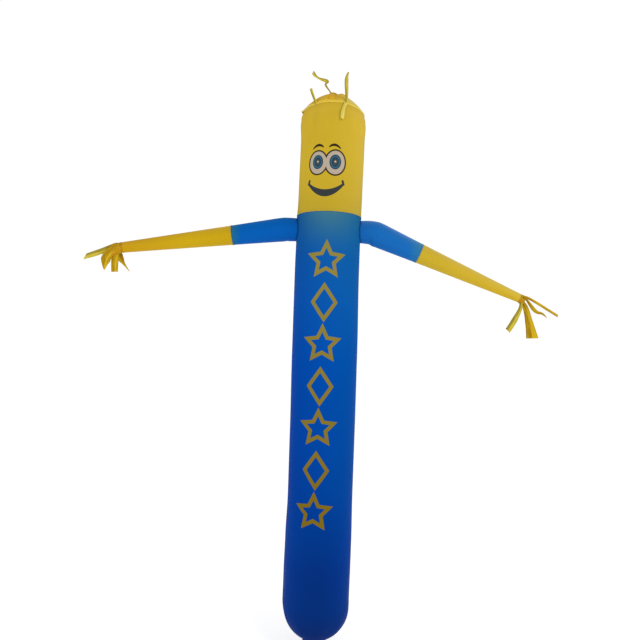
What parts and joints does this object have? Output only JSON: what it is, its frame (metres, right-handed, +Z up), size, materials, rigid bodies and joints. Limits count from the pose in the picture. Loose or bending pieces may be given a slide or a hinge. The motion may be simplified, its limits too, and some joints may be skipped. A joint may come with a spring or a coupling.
{
  "type": "inflatable air dancer",
  "caption": "Tall blue and yellow cloth tube figure with a smiling head, two tapering sleeves and cut ribbons, held up by a blower's air.",
  "frame": {"origin": "centre of the base hem, on the floor", "axes": "+Z up along the tube, -Y the way the face looks, +X to the right of someone who faces it"},
  "size_m": [2.5503, 0.3669, 3.1162],
  "materials": {
    "blue_cloth": "thin coated nylon with a soft sheen",
    "yellow_cloth": "thin coated nylon with a soft sheen"
  },
  "bodies": {
    "root": {"body_tube": "blue_cloth", "head_tube": "yellow_cloth", "crown_cap": "yellow_cloth", "crown_fringe": "yellow_cloth", "crown_tie": "yellow_cloth", "upper_sleeve_left": "blue_cloth", "upper_sleeve_right": "blue_cloth", "lower_sleeve_left": "yellow_cloth", "lower_sleeve_right": "yellow_cloth", "hand_fringe_left": "yellow_cloth", "hand_fringe_right": "yellow_cloth"}
  },
  "joints": []
}
